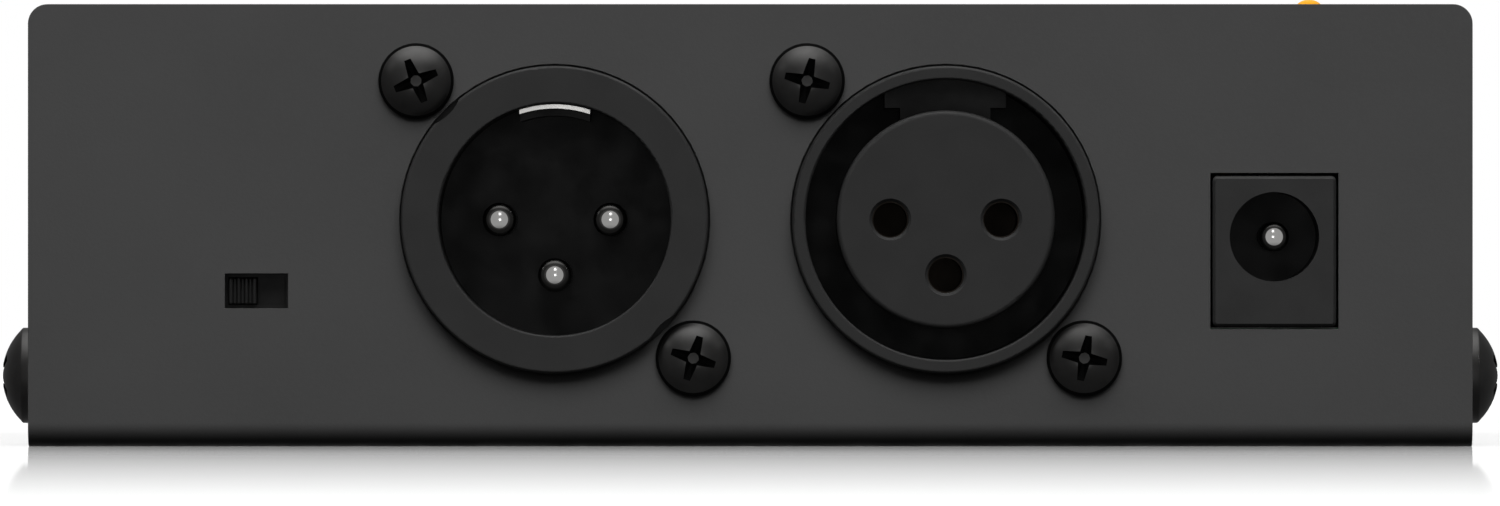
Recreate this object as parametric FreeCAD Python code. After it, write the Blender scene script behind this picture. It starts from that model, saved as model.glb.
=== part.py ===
import FreeCAD, Part
import math
import os

os.makedirs("parts", exist_ok=True)
V = FreeCAD.Vector

# Direct injection box in folded sheet steel, in millimetres.
# Z is up with the base's bottom face at 0, -Y leaves the connector (rear) panel and +X is to the
# right for someone facing that panel.

# Enclosure
W, D, H = 103.2, 119.0, 31.6
SHEET = 1.0
BEND = 1.7  # outer radius of the base's bends
COVER_BEND = 1.4
REAR, FRONT = -D / 2, D / 2
PANEL_BACK = REAR + SHEET
FRONT_BACK = FRONT - SHEET
SIDE_IN = W / 2 - SHEET  # inner face of the cover's walls
FLANGE_OUT = SIDE_IN - 0.15
FLANGE_H = 10.0
FLANGE_END = 54.0
COVER_SCREW_Y, COVER_SCREW_Z = 42.0, 4.98

# Three-pin audio connectors
MALE_X, FEMALE_X, PORT_Z = -13.97, 13.96, 16.21
RING_R, PORT_HOLE_R = 10.975, 11.1
RING_FRONT = REAR - 1.0
PIN_PITCH = 3.96
PIN_SPOTS = [(-PIN_PITCH, 0.0), (PIN_PITCH, 0.0), (0.0, -PIN_PITCH)]
CAVITY_R, PIN_R, PIN_NECK_R = 8.3, 1.2, 0.95
BORE_R, INSERT_R, CONTACT_R = 10.025, 7.8, 1.21
SCREW_OFF = 9.9
FLANGE_HALF, FLANGE_BACK = 12.9, PANEL_BACK + 3.0
TAIL_Y = -35.5

# DC jack, slide switch and status light
DC_X, DC_Z0, DC_Z1, DC_HALF = 37.44, 8.57, 19.32, 4.41
DC_HOLE_Z, DC_HOLE_R, DC_PIN_R, DC_NECK_R = 14.98, 3.2, 1.05, 0.8
SW_X, SW_Z = -35.28, 11.1
KNOB_X, KNOB_W, KNOB_H, TRAVEL = -36.27, 2.0, 1.9, 2.0
LED_X, LED_Y, LED_R, LED_TOP = 40.38, -41.5, 1.25, 32.145

# Board
BOARD_Z0, BOARD_Z1 = 6.9, 8.5
TAIL_Z = 5.6
STANDOFFS = [(-42.0, -30.0), (42.0, -30.0), (-42.0, 30.0), (42.0, 30.0)]

# Front jacks
JACKS = {"input_jack": -14.0, "link_jack": 14.0}
JACK_Z, JACK_BORE_R, THREAD_R = 17.0, 3.22, 4.75
BUSH_END = FRONT + 4.2

drilled = []


def box(x0, x1, y0, y1, z0, z1):
    return Part.makeBox(x1 - x0, y1 - y0, z1 - z0, V(x0, y0, z0))


def rod_x(y, z, r, x0, x1):
    return Part.makeCylinder(r, x1 - x0, V(x0, y, z), V(1, 0, 0))


def rod_y(x, z, r, y0, y1):
    return Part.makeCylinder(r, y1 - y0, V(x, y0, z), V(0, 1, 0))


def rod_z(x, y, r, z0, z1):
    return Part.makeCylinder(r, z1 - z0, V(x, y, z0), V(0, 0, 1))


def joined(first, *others):
    return first.multiFuse(list(others)).removeSplitter()


def without(shape, *tools):
    return shape.cut(Part.makeCompound(list(tools)))


def prism(points, direction):
    """Straight-sided outline carried along a direction."""
    return Part.Face(Part.makePolygon(points + [points[0]])).extrude(direction)


def eased(shape, radius, wanted, flat=False):
    """Rounds (or chamfers) the edges that the test picks out."""
    edges = [e for e in shape.Edges if wanted(e)]
    return shape.makeChamfer(radius, edges) if flat else shape.makeFillet(radius, edges)


def round_at(y, r, x, z):
    """Test for a full circle of this radius in the plane y."""
    def wanted(e):
        c = e.Curve
        whole = e.isClosed() and isinstance(c, Part.Circle)
        return whole and abs(c.Radius - r) < 1e-4 and abs(c.Center.y - y) < 1e-4 \
            and abs(c.Center.x - x) < 1e-4 and abs(c.Center.z - z) < 1e-4
    return wanted


def drill(x, y, r):
    """Remembers a hole through the board for one lead."""
    drilled.append(rod_z(x, y, r, BOARD_Z0 - 1, BOARD_Z1 + 1))


def save(node, *solids):
    whole = []
    for s in solids:
        whole += s.Solids
    shape = whole[0] if len(whole) == 1 else Part.makeCompound(whole)
    for s in whole:
        assert s.isValid(), node
    shape.exportStep("parts/" + node + ".step")
    print(node, len(whole), round(shape.Volume, 1))


# ---------------------------------------------------------------- screws
def domed_screw(head_r, rim, height, shank_r, length, arm, slot, depth, turn):
    """Domed cross-recess screw. Its head rises along +Z from z = 0 and its shank goes down."""
    cap = height - rim
    ball_r = (head_r ** 2 + cap ** 2) / (2 * cap)
    ball = Part.makeSphere(ball_r, V(0, 0, height - ball_r))
    head = ball.common(Part.makeCylinder(head_r, height, V(0, 0, 0)))
    shank = Part.makeCylinder(shank_r, length, V(0, 0, -length))
    tip = Part.makeCone(shank_r * 0.72, shank_r, 0.6, V(0, 0, -length - 0.6))
    cross = [box(-arm, arm, -slot / 2, slot / 2, height - depth, height + 1)]
    cross.append(box(-slot / 2, slot / 2, -arm, arm, height - depth, height + 1))
    cross.append(Part.makeCone(0.1, arm * 0.42, depth + 0.5, V(0, 0, height - depth - 0.5)))
    screw = without(joined(head, shank, tip), *cross)
    screw.rotate(V(0, 0, 0), V(0, 0, 1), turn)
    return screw


def facing_rear(shape, x, y, z):
    shape.rotate(V(0, 0, 0), V(1, 0, 0), 90)
    shape.translate(V(x, y, z))
    return shape


cover_screws = []
for side in (-1, 1):
    for y in (-COVER_SCREW_Y, COVER_SCREW_Y):
        s = domed_screw(3.46, 0.9, 2.45, 1.5, 4.4, 1.9, 0.7, 1.5, 45.0)
        s.rotate(V(0, 0, 0), V(0, 1, 0), 90 * side)
        s.translate(V(side * W / 2, y, COVER_SCREW_Z))
        cover_screws.append(s)
save("cover_screws", *cover_screws)

PORT_SCREWS = [
    (MALE_X - SCREW_OFF, PORT_Z + SCREW_OFF, 22.0),
    (MALE_X + SCREW_OFF, PORT_Z - SCREW_OFF, -17.0),
    (FEMALE_X - SCREW_OFF, PORT_Z + SCREW_OFF, -13.0),
    (FEMALE_X + SCREW_OFF, PORT_Z - SCREW_OFF, -10.5),
]
port_screws = []
for x, z, turn in PORT_SCREWS:
    s = domed_screw(2.7, 0.25, 1.6, 1.45, 8.0, 1.7, 0.5, 1.1, turn)
    port_screws.append(facing_rear(s, x, REAR, z))
save("connector_screws", *port_screws)

# ---------------------------------------------------------------- base
def bend_profile(half, z_top, bend, start):
    """Outline of a U of sheet: flat bottom, two bends and two walls, as a face at one station."""
    u, v = start
    inner = bend - SHEET
    pts = {
        "a": u(-half, z_top), "b": u(-half, bend), "c": u(-half + bend, 0),
        "d": u(half - bend, 0), "e": u(half, bend), "f": u(half, z_top),
        "g": u(half - SHEET, z_top), "h": u(half - SHEET, bend), "i": u(half - bend, SHEET),
        "j": u(-half + bend, SHEET), "k": u(-half + SHEET, bend), "l": u(-half + SHEET, z_top),
    }
    q = math.sqrt(0.5)
    m1 = u(-half + bend - bend * q, bend - bend * q)
    m2 = u(half - bend + bend * q, bend - bend * q)
    m3 = u(half - bend + inner * q, bend - inner * q)
    m4 = u(-half + bend - inner * q, bend - inner * q)
    edges = [
        Part.makeLine(pts["a"], pts["b"]), Part.Arc(pts["b"], m1, pts["c"]).toShape(),
        Part.makeLine(pts["c"], pts["d"]), Part.Arc(pts["d"], m2, pts["e"]).toShape(),
        Part.makeLine(pts["e"], pts["f"]), Part.makeLine(pts["f"], pts["g"]),
        Part.makeLine(pts["g"], pts["h"]), Part.Arc(pts["h"], m3, pts["i"]).toShape(),
        Part.makeLine(pts["i"], pts["j"]), Part.Arc(pts["j"], m4, pts["k"]).toShape(),
        Part.makeLine(pts["k"], pts["l"]), Part.makeLine(pts["l"], pts["a"]),
    ]
    return Part.Face(Part.Wire(edges)).extrude(v)


panels = bend_profile(D / 2, H, BEND, (lambda a, b: V(-W / 2, a, b), V(W, 0, 0)))
flanges = bend_profile(
    FLANGE_OUT, FLANGE_H, BEND, (lambda a, b: V(a, -FLANGE_END, b), V(0, 2 * FLANGE_END, 0))
)
relief = []
for side in (-1, 1):
    inner = sorted((side * (FLANGE_OUT - BEND), side * (W / 2 + 1)))
    relief.append(box(inner[0], inner[1], -57.6, 57.6, -1, SHEET + 1))
tray = joined(without(panels, *relief), flanges)

# the panels' top corners follow the cover's bends
corner = box(-W / 2, W / 2, REAR - 1, FRONT + 1, -1, H)
corner = eased(corner, COVER_BEND, lambda e: e.CenterOfMass.z > H - 0.01
               and abs(abs(e.CenterOfMass.x) - W / 2) < 0.01)
tray = tray.common(corner)

collars, holes = [], []
for side in (-1, 1):
    for y in (-COVER_SCREW_Y, COVER_SCREW_Y):
        x0, x1 = sorted((side * 47.45, side * (FLANGE_OUT - SHEET / 2)))
        collars.append(rod_x(y, COVER_SCREW_Z, 2.3, x0, x1))
        x0, x1 = sorted((side * 46.0, side * 52.0))
        holes.append(rod_x(y, COVER_SCREW_Z, 1.52, x0, x1))
tray = joined(tray, *collars)
for x in (MALE_X, FEMALE_X):
    holes.append(rod_y(x, PORT_Z, PORT_HOLE_R, REAR - 1, PANEL_BACK + 1))
for x, z, _ in PORT_SCREWS:
    holes.append(rod_y(x, z, 1.65, REAR - 1, PANEL_BACK + 1))
holes.append(box(SW_X - 2.25, SW_X + 2.25, REAR - 1, PANEL_BACK + 1, SW_Z - 1.235, SW_Z + 1.235))
DC_MID = (DC_Z0 + DC_Z1) / 2
holes.append(
    box(DC_X - 4.57, DC_X + 4.57, REAR - 1, PANEL_BACK + 1, DC_MID - 5.58, DC_MID + 5.58)
)
for x in JACKS.values():
    holes.append(rod_y(x, JACK_Z, THREAD_R + 0.15, FRONT_BACK - 1, FRONT + 1))
for x, y in STANDOFFS:
    holes.append(rod_z(x, y, 2.1, -1, SHEET + 1))
tray = without(tray, *holes)
save("base_tray", tray)

# ---------------------------------------------------------------- cover
GAP = 0.1
outer = box(-W / 2, W / 2, PANEL_BACK + GAP, FRONT_BACK - GAP, 0.2, H)
outer = eased(outer, COVER_BEND, lambda e: e.CenterOfMass.z > H - 0.01
              and abs(abs(e.CenterOfMass.x) - W / 2) < 0.01)
inside = box(-SIDE_IN, SIDE_IN, REAR, FRONT, -1, H - SHEET)
inside = eased(inside, COVER_BEND - SHEET, lambda e: abs(e.CenterOfMass.z - (H - SHEET)) < 0.01
               and abs(abs(e.CenterOfMass.x) - SIDE_IN) < 0.01)
cuts = [inside, rod_z(LED_X, LED_Y, LED_R + 0.1, H - 3, H + 1)]
for y0, y1 in ((REAR, -57.5), (57.5, FRONT)):
    cuts.append(box(-W, W, y0, y1, -1, BEND + 0.2))
for side in (-1, 1):
    for y in (-COVER_SCREW_Y, COVER_SCREW_Y):
        x0, x1 = sorted((side * 50.0, side * 52.0))
        cuts.append(rod_x(y, COVER_SCREW_Z, 1.7, x0, x1))
save("top_cover", without(outer, *cuts))

# ---------------------------------------------------------------- three-pin connectors
def port_flange(x):
    """Square mounting flange behind the panel, with a boss for each screw."""
    flange = box(x - FLANGE_HALF, x + FLANGE_HALF, PANEL_BACK, FLANGE_BACK,
                 PORT_Z - FLANGE_HALF, PORT_Z + FLANGE_HALF)
    flange = eased(flange, 2.5, lambda e: abs(e.CenterOfMass.y - PANEL_BACK - 1.5) < 0.01)
    bosses = []
    for side in (-1, 1):
        bosses.append(rod_y(x + side * SCREW_OFF, PORT_Z - side * SCREW_OFF, 2.8,
                            FLANGE_BACK - 0.5, FLANGE_BACK + 6.0))
    return joined(flange, *bosses)


def screw_ways(x, notch):
    """The holes that the two screws cut, and the notches their heads need in the ring."""
    tools = []
    for side in (-1, 1):
        sx, sz = x + side * SCREW_OFF, PORT_Z - side * SCREW_OFF
        tools.append(rod_y(sx, sz, 1.47, PANEL_BACK - 0.5, FLANGE_BACK + 7.0))
        if notch:
            tools.append(rod_y(sx, sz, 3.35, RING_FRONT - 1, PANEL_BACK))
    return tools


def tail(x, z, y0, y1, half):
    """Square contact tail that runs back from y0, then turns down into the board at y1."""
    drill(x, y1, half * math.sqrt(2) + 0.15)
    run = box(x - half, x + half, y0, y1 + half, z - half, z + half)
    drop = box(x - half, x + half, y1 - half, y1 + half, TAIL_Z, z + half)
    return joined(run, drop)


# male: a plain deep cavity with three pins and a sprung ground strip at its top
FLOOR, MALE_BACK = RING_FRONT + 15.0, RING_FRONT + 20.0
ring = rod_y(MALE_X, PORT_Z, RING_R, RING_FRONT, PANEL_BACK)
ring = eased(ring, 0.2, round_at(RING_FRONT, RING_R, MALE_X, PORT_Z))
barrel = rod_y(MALE_X, PORT_Z, 10.1, PANEL_BACK, MALE_BACK)
housing = joined(ring, port_flange(MALE_X), barrel)
housing = without(housing, rod_y(MALE_X, PORT_Z, CAVITY_R, RING_FRONT - 1, FLOOR))
housing = eased(housing, 0.15, round_at(RING_FRONT, CAVITY_R, MALE_X, PORT_Z))


def top_arc(r0, r1, half, y0, y1):
    """Arc of a tube at the top of the male cavity."""
    tube = rod_y(MALE_X, PORT_Z, r1, y0, y1).cut(rod_y(MALE_X, PORT_Z, r0, y0 - 1, y1 + 1))
    return tube.common(box(MALE_X - half, MALE_X + half, y0, y1, PORT_Z, PORT_Z + 12))


ledge = top_arc(7.45, 7.9, 2.5, RING_FRONT + 5.0, FLOOR + 0.5)
housing = joined(housing, ledge)
ways = []
for dx, dz in PIN_SPOTS:
    ways.append(rod_y(MALE_X + dx, PORT_Z + dz, PIN_NECK_R, FLOOR - 1, MALE_BACK + 1))
ways.append(top_arc(7.9, 8.27, 2.56, FLOOR - 0.5, MALE_BACK + 1))
housing = without(housing, *ways, *screw_ways(MALE_X, True))
save("male_housing", housing)

male_contacts = []
for dx, dz in PIN_SPOTS:
    x, z = MALE_X + dx, PORT_Z + dz
    pin = rod_y(x, z, PIN_R, RING_FRONT + 1.5, FLOOR)
    pin = eased(pin, 0.6, round_at(RING_FRONT + 1.5, PIN_R, x, z))
    neck = rod_y(x, z, PIN_NECK_R, FLOOR - 1, MALE_BACK)
    male_contacts.append(joined(pin, neck, tail(x, z, MALE_BACK - 0.5, TAIL_Y, 0.4)))
save("male_contacts", *male_contacts)

strip = top_arc(7.94, 8.23, 2.52, RING_FRONT + 0.9, MALE_BACK + 0.5)
STRIP_Z = PORT_Z + 8.08
strip_tail = joined(
    box(MALE_X - 0.5, MALE_X + 0.5, MALE_BACK, TAIL_Y + 2.7, STRIP_Z - 0.14, STRIP_Z + 0.14),
    box(MALE_X - 0.5, MALE_X + 0.5, TAIL_Y + 2.4, TAIL_Y + 2.7, TAIL_Z, STRIP_Z + 0.14),
)
drill(MALE_X, TAIL_Y + 2.55, 0.7)
save("male_ground_contact", joined(strip, strip_tail))

# female: a sleeve of air around a round insert that carries three socket contacts
F_FLOOR, F_BACK = RING_FRONT + 16.0, RING_FRONT + 19.0
INSERT_FRONT = RING_FRONT + 0.15
ring = rod_y(FEMALE_X, PORT_Z, RING_R, RING_FRONT, PANEL_BACK)
ring = eased(ring, 0.2, round_at(RING_FRONT, RING_R, FEMALE_X, PORT_Z))
barrel = rod_y(FEMALE_X, PORT_Z, 11.6, PANEL_BACK, F_BACK)
housing = joined(ring, port_flange(FEMALE_X), barrel)
housing = without(housing, rod_y(FEMALE_X, PORT_Z, BORE_R, RING_FRONT - 1, F_FLOOR))
housing = eased(housing, 0.15, round_at(RING_FRONT, BORE_R, FEMALE_X, PORT_Z))
KEY_FRONT = RING_FRONT + 4.5
key = joined(
    box(FEMALE_X - 4.34, FEMALE_X + 4.34, KEY_FRONT, F_FLOOR + 0.5, PORT_Z + 8.0, PORT_Z + 10.4),
    box(FEMALE_X - 3.23, FEMALE_X + 3.23, KEY_FRONT, F_FLOOR + 0.5, PORT_Z + 6.0, PORT_Z + 8.2),
)
key = key.cut(rod_y(FEMALE_X, PORT_Z, INSERT_R + 0.05, KEY_FRONT - 1, F_FLOOR + 1))
key = key.common(rod_y(FEMALE_X, PORT_Z, BORE_R + 0.3, KEY_FRONT - 1, F_FLOOR + 1))
housing = joined(housing, key)
housing = without(
    housing, rod_y(FEMALE_X, PORT_Z, 6.5, F_FLOOR - 1, F_BACK + 1), *screw_ways(FEMALE_X, False)
)
save("female_housing", housing)

insert = joined(
    rod_y(FEMALE_X, PORT_Z, INSERT_R, INSERT_FRONT, F_FLOOR),
    rod_y(FEMALE_X, PORT_Z, 6.5, F_FLOOR - 1, F_BACK + 0.5),
)
insert = eased(insert, 0.35, round_at(INSERT_FRONT, INSERT_R, FEMALE_X, PORT_Z))
SLEEVE_FRONT, SLEEVE_BACK = INSERT_FRONT + 2.2, INSERT_FRONT + 15.7
female_contacts, ways = [], []
for dx, dz in PIN_SPOTS:
    x, z = FEMALE_X + dx, PORT_Z + dz
    ways.append(rod_y(x, z, 1.3, INSERT_FRONT - 1, SLEEVE_FRONT + 1))
    ways.append(Part.makeCone(1.5, 1.3, 0.2, V(x, INSERT_FRONT, z), V(0, 1, 0)))
    ways.append(rod_y(x, z, 1.75, SLEEVE_FRONT, SLEEVE_BACK))
    ways.append(rod_y(x, z, 0.6, SLEEVE_BACK - 1, F_BACK + 2))
    sleeve = rod_y(x, z, 1.75, SLEEVE_FRONT, SLEEVE_BACK)
    sleeve = joined(sleeve, tail(x, z, SLEEVE_BACK - 0.5, TAIL_Y, 0.4))
    sleeve = sleeve.cut(rod_y(x, z, CONTACT_R, SLEEVE_FRONT - 1, SLEEVE_BACK - 1.5))
    female_contacts.append(sleeve)
save("female_insert", without(insert, *ways))
save("female_contacts", *female_contacts)

# ---------------------------------------------------------------- DC jack
DC_FRONT, DC_BACK, DC_DEPTH = REAR - 0.1, REAR + 14.2, REAR + 9.6
jack = box(DC_X - DC_HALF, DC_X + DC_HALF, DC_FRONT, DC_BACK, DC_Z0, DC_Z1)
jack = eased(jack, 0.35, lambda e: abs(e.CenterOfMass.y - (DC_FRONT + DC_BACK) / 2) < 0.01)
jack = eased(jack, 0.2, lambda e: e.BoundBox.YMax < DC_FRONT + 0.01, True)
feet = box(DC_X - 3.5, DC_X + 3.5, DC_BACK - 8, DC_BACK, BOARD_Z1, DC_Z0 + 0.3)
jack = joined(jack, feet)
jack = without(
    jack,
    rod_y(DC_X, DC_HOLE_Z, DC_HOLE_R, DC_FRONT - 1, DC_DEPTH),
    rod_y(DC_X, DC_HOLE_Z, DC_NECK_R, DC_DEPTH - 1, DC_BACK + 1),
    box(DC_X - 1.55, DC_X + 1.55, DC_FRONT + 3.0, DC_DEPTH, 10.9, 12.6),
    box(DC_X - 1.55, DC_X + 1.55, DC_DEPTH - 0.8, DC_DEPTH, 7.0, 11.0),
)
save("dc_jack_housing", jack)
pin = rod_y(DC_X, DC_HOLE_Z, DC_PIN_R, DC_FRONT + 0.8, DC_DEPTH)
pin = eased(pin, 0.5, round_at(DC_FRONT + 0.8, DC_PIN_R, DC_X, DC_HOLE_Z))
blade = box(DC_X - 1.2, DC_X + 1.2, DC_BACK + 0.1, DC_BACK + 0.5, TAIL_Z, DC_HOLE_Z + 1.3)
drill(DC_X, DC_BACK + 0.3, 1.35)
neck = rod_y(DC_X, DC_HOLE_Z, DC_NECK_R, DC_DEPTH - 1, DC_BACK + 0.2)
save("dc_jack_pin", joined(pin, neck, blade))
spring = joined(
    box(DC_X - 1.5, DC_X + 1.5, DC_FRONT + 3.2, DC_DEPTH - 0.1, 11.1, 11.4),
    box(DC_X - 1.5, DC_X + 1.5, DC_DEPTH - 0.4, DC_DEPTH - 0.1, TAIL_Z, 11.4),
)
drill(DC_X, DC_DEPTH - 0.25, 1.65)
save("dc_jack_spring", spring)

# ---------------------------------------------------------------- slide switch
SW_FRONT, SW_BACK = PANEL_BACK + 0.2, PANEL_BACK + 5.0
frame = box(SW_X - 4.5, SW_X + 4.5, SW_FRONT, SW_BACK, BOARD_Z1, SW_Z + 2.6)
SLOT_X0, SLOT_X1 = KNOB_X - KNOB_W / 2, KNOB_X + KNOB_W / 2 + TRAVEL
frame = without(
    frame,
    box(SW_X - 4.2, SW_X + 4.2, SW_FRONT + 0.3, SW_BACK + 1, BOARD_Z1 + 0.3, SW_Z + 2.3),
    box(SLOT_X0 - 0.04, SLOT_X1 + 0.04, SW_FRONT - 1, SW_FRONT + 1,
        SW_Z - KNOB_H / 2 - 0.04, SW_Z + KNOB_H / 2 + 0.04),
)
save("switch_frame", frame)
base = box(SW_X - 4.2, SW_X + 4.2, SW_BACK - 2.1, SW_BACK, BOARD_Z1 + 0.3, SW_Z + 2.3)
terminals, ways = [], []
for dx in (-2.5, 0.0, 2.5):
    x = SW_X + dx
    ways.append(box(x - 0.35, x + 0.35, SW_BACK - 3, SW_BACK + 1, SW_Z - 0.2, SW_Z + 0.2))
    terminals.append(joined(
        box(x - 0.9, x + 0.9, SW_BACK - 2.4, SW_BACK - 2.1, SW_Z - 0.8, SW_Z + 0.8),
        box(x - 0.35, x + 0.35, SW_BACK - 2.3, SW_BACK + 0.6, SW_Z - 0.2, SW_Z + 0.2),
        box(x - 0.35, x + 0.35, SW_BACK + 0.3, SW_BACK + 0.6, TAIL_Z, SW_Z + 0.2),
    ))
    drill(x, SW_BACK + 0.45, 0.55)
save("switch_base", without(base, *ways))
save("switch_terminals", *terminals)

KNOB_FRONT, KNOB_BACK = REAR + 0.4, SW_FRONT + 1.9
stem = box(KNOB_X - KNOB_W / 2, KNOB_X + KNOB_W / 2, KNOB_FRONT, KNOB_BACK,
           SW_Z - KNOB_H / 2, SW_Z + KNOB_H / 2)
carrier = box(KNOB_X - 3.1, KNOB_X + 3.1, SW_FRONT + 0.35, KNOB_BACK,
              BOARD_Z1 + 0.35, SW_Z + 2.25)
grooves = []
for i in range(3):
    x = KNOB_X + (i - 1) * 0.55
    grooves.append(box(x - 0.14, x + 0.14, KNOB_FRONT - 1, KNOB_FRONT + 0.25, 0, H))
save("switch_knob", without(joined(stem, carrier), *grooves))
wiper = joined(
    box(KNOB_X - 1.6, KNOB_X + 1.6, KNOB_BACK, KNOB_BACK + 0.2, SW_Z - 0.6, SW_Z + 0.6),
    box(KNOB_X - 1.5, KNOB_X - 0.9, KNOB_BACK, SW_BACK - 2.43, SW_Z - 0.4, SW_Z + 0.4),
    box(KNOB_X + 0.9, KNOB_X + 1.5, KNOB_BACK, SW_BACK - 2.43, SW_Z - 0.4, SW_Z + 0.4),
)
save("switch_wiper", wiper)

# ---------------------------------------------------------------- status light
LENS_Z = LED_TOP - 5.3
lens = joined(
    rod_z(LED_X, LED_Y, LED_R + 0.65, LENS_Z, LENS_Z + 0.7),
    rod_z(LED_X, LED_Y, LED_R, LENS_Z, LED_TOP - LED_R),
    Part.makeSphere(LED_R, V(LED_X, LED_Y, LED_TOP - LED_R)),
)
save("led_lens", lens)
spacer = rod_z(LED_X, LED_Y, 2.4, BOARD_Z1, LENS_Z)
led_leads, ways = [], []
for dx in (-1.27, 1.27):
    x = LED_X + dx
    led_leads.append(box(x - 0.25, x + 0.25, LED_Y - 0.25, LED_Y + 0.25, TAIL_Z, LENS_Z))
    ways.append(rod_z(x, LED_Y, 0.45, BOARD_Z1 - 1, LENS_Z + 1))
    drill(x, LED_Y, 0.45)
save("led_leads", *led_leads)
save("led_spacer", without(spacer, *ways))

# ---------------------------------------------------------------- board components
def upright(points, r, z_top):
    """Round leads that drop straight from z_top through the board."""
    leads = []
    for x, y in points:
        drill(x, y, r + 0.12)
        leads.append(rod_z(x, y, r, TAIL_Z, z_top))
    return leads


TX, TY = -22.0, -12.0
core = box(TX - 12, TX + 12, TY - 4.5, TY + 4.5, 9.6, 25.6)
core = without(
    core,
    box(TX - 8.5, TX - 4.0, TY - 5, TY + 5, 12.6, 22.6),
    box(TX + 4.0, TX + 8.5, TY - 5, TY + 5, 12.6, 22.6),
)
save("transformer_core", core)
bobbin = joined(
    box(TX - 4.8, TX + 4.8, TY - 5.3, TY + 5.3, 12.6, 22.6),
    box(TX - 8.4, TX + 8.4, TY - 9.5, TY + 9.5, 12.6, 13.4),
    box(TX - 8.4, TX + 8.4, TY - 9.5, TY + 9.5, 21.8, 22.6),
    box(TX - 8.4, TX + 8.4, TY - 9.5, TY - 6.0, BOARD_Z1, 13.4),
    box(TX - 8.4, TX + 8.4, TY + 6.0, TY + 9.5, BOARD_Z1, 13.4),
)
core_way = box(TX - 4.0, TX + 4.0, TY - 4.5, TY + 4.5, 12.0, 23.0)
spots = [(TX + dx, TY + dy) for dx in (-6.0, 0.0, 6.0) for dy in (-7.8, 7.8)]
ways = [rod_z(x, y, 0.4, 8.0, 10.5) for x, y in spots]
save("transformer_bobbin", without(bobbin, core_way, *ways))
winding = box(TX - 8.1, TX + 8.1, TY - 9.1, TY + 9.1, 13.4, 21.8)
winding = eased(winding, 2.6, lambda e: abs(e.CenterOfMass.z - 17.6) < 0.01)
save("transformer_winding", winding.cut(box(TX - 4.8, TX + 4.8, TY - 5.3, TY + 5.3, 12, 23)))
save("transformer_pins", *upright(spots, 0.4, 10.5))

opamps, opamp_pins = [], []
for cx, cy in ((4.0, -18.0), (4.0, -5.0)):
    body = box(cx - 4.8, cx + 4.8, cy - 3.2, cy + 3.2, 9.1, 12.4)
    body = body.cut(rod_z(cx - 4.8, cy, 0.8, 11.9, 13))
    opamps.append(body)
    for i in range(4):
        x = cx - 3.81 + 2.54 * i
        for side in (-1, 1):
            y0, y1 = sorted((cy + side * 3.2, cy + side * 3.96))
            z0, z1 = sorted((cy + side * 3.66, cy + side * 3.96))
            opamp_pins.append(joined(
                box(x - 0.6, x + 0.6, y0, y1, 10.5, 10.8),
                box(x - 0.6, x + 0.6, z0, z1, BOARD_Z1, 10.8),
                box(x - 0.25, x + 0.25, z0, z1, TAIL_Z, BOARD_Z1 + 0.1),
            ))
            drill(x, cy + side * 3.81, 0.45)
save("opamp_bodies", *opamps)
save("opamp_pins", *opamp_pins)

RX, RY = 22.0, -27.0
regulator = rod_z(RX, RY, 2.4, 11.0, 15.6).common(box(RX - 3, RX + 3, RY - 1.4, RY + 3, 10, 17))
save("regulator_body", regulator)
save("regulator_leads", *upright([(RX + dx, RY) for dx in (-1.27, 0.0, 1.27)], 0.25, 11.0))

cans, can_leads = [], []
for x, y in ((34.0, -22.0), (34.0, -9.5), (34.0, 3.0), (21.5, -12.0)):
    can = rod_z(x, y, 4.0, BOARD_Z1, 20.0)
    cans.append(eased(can, 0.5, lambda e: e.BoundBox.ZMin > 19.9))
    can_leads += upright([(x - 1.75, y), (x + 1.75, y)], 0.3, BOARD_Z1)
save("electrolytic_capacitors", *cans)
save("electrolytic_leads", *can_leads)

films, film_leads = [], []
for x in (-12.0, -2.0, 8.0, 18.0):
    film = box(x - 3.6, x + 3.6, 6.2, 9.8, BOARD_Z1, 16.0)
    films.append(eased(film, 0.4, lambda e: e.BoundBox.ZMin > 15.9))
    film_leads += upright([(x - 2.5, 8.0), (x + 2.5, 8.0)], 0.3, BOARD_Z1)
save("film_capacitors", *films)
save("film_capacitor_leads", *film_leads)


def axial(x, y, r, half, rise, lead):
    """A body lying along Y with its two leads bent down into the board."""
    z = BOARD_Z1 + rise
    body = eased(rod_y(x, z, r, y - half, y + half), r * 0.35, lambda e: e.isClosed())
    leads = []
    for side in (-1, 1):
        y0, y1 = sorted((y + side * half, y + side * 5.08))
        run = rod_y(x, z, lead, y0, y1)
        knee = Part.makeSphere(lead, V(x, y + side * 5.08, z))
        drop = rod_z(x, y + side * 5.08, lead, TAIL_Z, z)
        leads.append(joined(run, knee, drop))
        drill(x, y + side * 5.08, lead + 0.12)
    return body, leads


resistors, resistor_leads, diodes, diode_leads = [], [], [], []
for i in range(12):
    body, leads = axial(-35.2 + 6.4 * i, 20.0, 1.15, 3.15, 1.2, 0.3)
    resistors.append(body)
    resistor_leads += leads
for i in range(4):
    body, leads = axial(-40.0 + 5.0 * i, 5.0, 1.3, 2.5, 1.35, 0.35)
    diodes.append(body)
    diode_leads += leads
save("resistor_bodies", *resistors)
save("resistor_leads", *resistor_leads)
save("diode_bodies", *diodes)
save("diode_leads", *diode_leads)

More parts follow.
